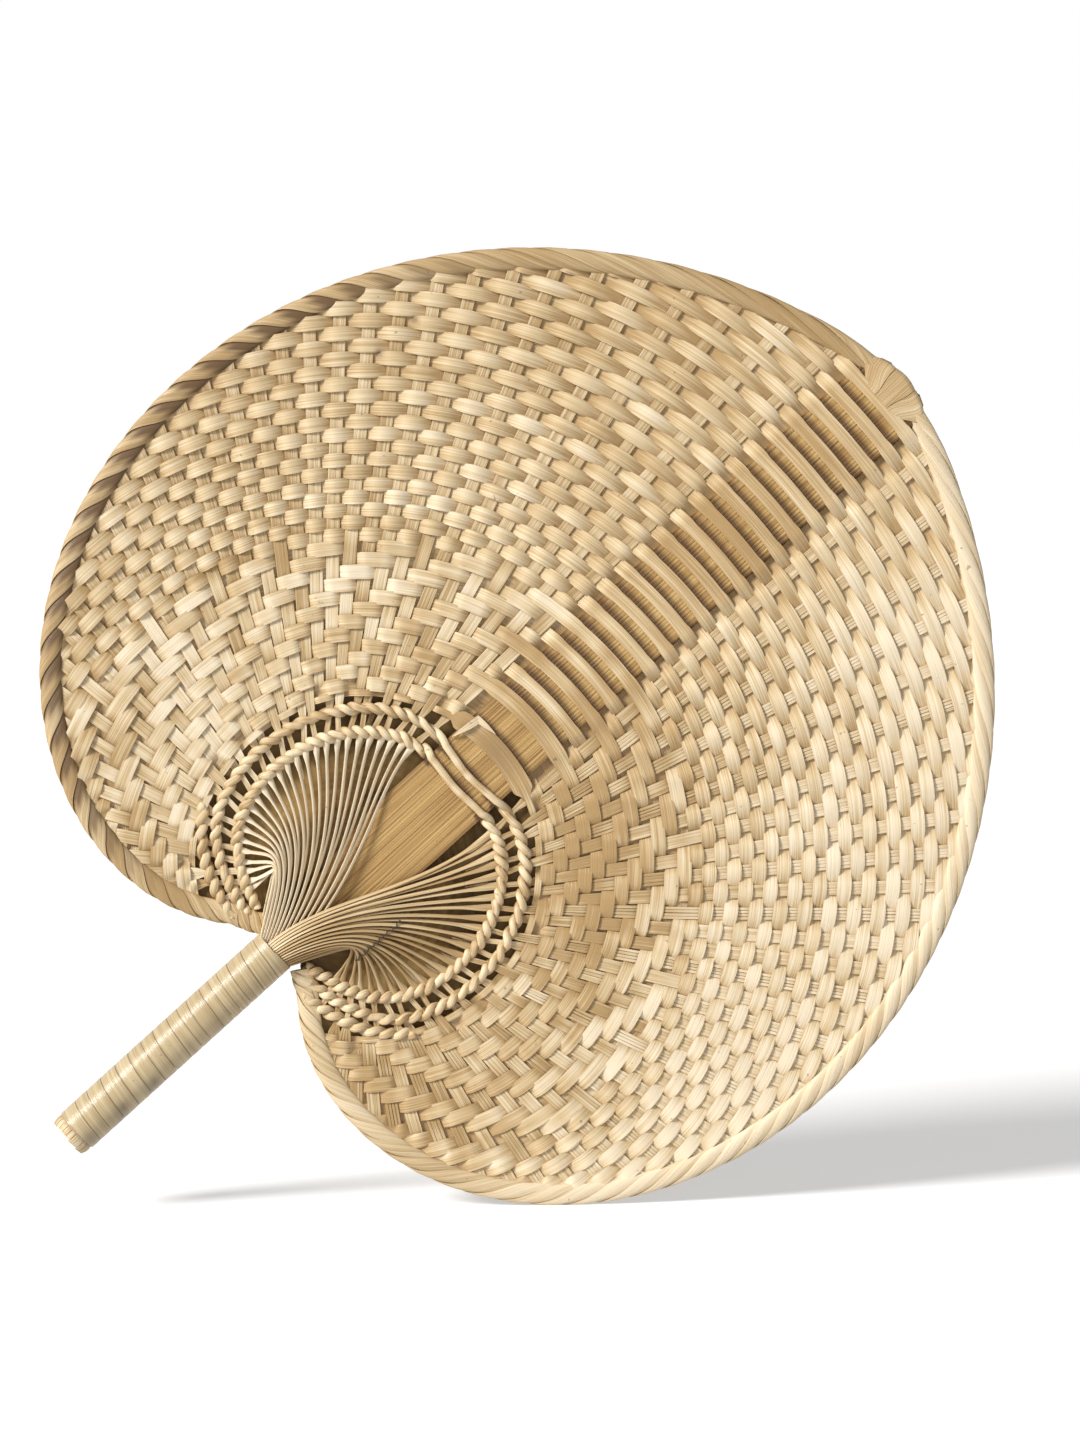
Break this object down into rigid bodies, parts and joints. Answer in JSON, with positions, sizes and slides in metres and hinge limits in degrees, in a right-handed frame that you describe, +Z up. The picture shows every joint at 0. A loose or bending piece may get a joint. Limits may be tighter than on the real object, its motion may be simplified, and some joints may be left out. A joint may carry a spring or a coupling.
{
  "type": "hand fan",
  "caption": "Heart-shaped hand fan plaited from pale splints on a flat stave, with a ringed eye, a rope-like folded rim and a strip-wrapped handle.",
  "frame": {"origin": "middle of the grip, on the axis of the handle", "axes": "+Z up and -Y out of the front of the blade; the handle's axis leans 42 degrees up from +X towards the tip, as the fan is shown"},
  "size_m": [0.3281, 0.016, 0.3291],
  "materials": {
    "splint_pale": "dry satin splint",
    "splint_tan": "dry satin splint",
    "stave_bamboo": "split bamboo",
    "wrap_strip": "satin strip",
    "lining_leaf": "mottled dry leaf"
  },
  "bodies": {
    "root": {"handle_core": "splint_tan", "handle_wrap": "wrap_strip", "stave": "stave_bamboo", "left_stakes_tip": "splint_pale", "left_stakes_flank": "splint_pale", "left_stakes_heel": "splint_pale", "right_stakes_tip": "splint_pale", "right_stakes_flank": "splint_pale", "right_stakes_heel": "splint_pale", "weft_01": "splint_pale", "weft_02": "splint_tan", "weft_03": "splint_pale", "weft_04": "splint_tan", "weft_05": "splint_pale", "weft_06": "splint_tan", "weft_07": "splint_pale", "weft_08": "splint_tan", "weft_09": "splint_pale", "weft_10": "splint_tan", "weft_11": "splint_pale", "weft_12": "splint_tan", "weft_13": "splint_pale", "weft_14": "splint_tan", "weft_15": "splint_pale", "weft_16": "splint_tan", "weft_17": "splint_pale", "weft_18": "splint_tan", "weft_19": "splint_pale", "weft_20": "splint_tan", "weft_21": "splint_pale", "weft_22": "splint_tan", "weft_23": "splint_pale", "weft_24": "splint_tan", "weft_25": "splint_pale", "weft_26": "splint_tan", "weft_27": "splint_pale", "weft_28": "splint_tan", "weft_29": "splint_pale", "weft_30": "splint_tan", "weft_31": "splint_pale", "weft_32": "splint_tan", "weft_33": "splint_pale", "weft_34": "splint_tan", "weft_35": "splint_pale", "weft_36": "splint_tan", "weft_37": "splint_pale", "weft_38": "splint_tan", "weft_39": "splint_pale", "weft_40": "splint_tan", "weft_41": "splint_pale", "weft_42": "splint_tan", "weft_43": "splint_pale", "weft_44": "splint_tan", "inner_ring": "splint_tan", "outer_ring": "splint_tan", "eye_lining": "lining_leaf", "tip_fold_1": "splint_pale", "tip_fold_2": "splint_pale", "tip_fold_3": "splint_pale"}
  },
  "joints": []
}
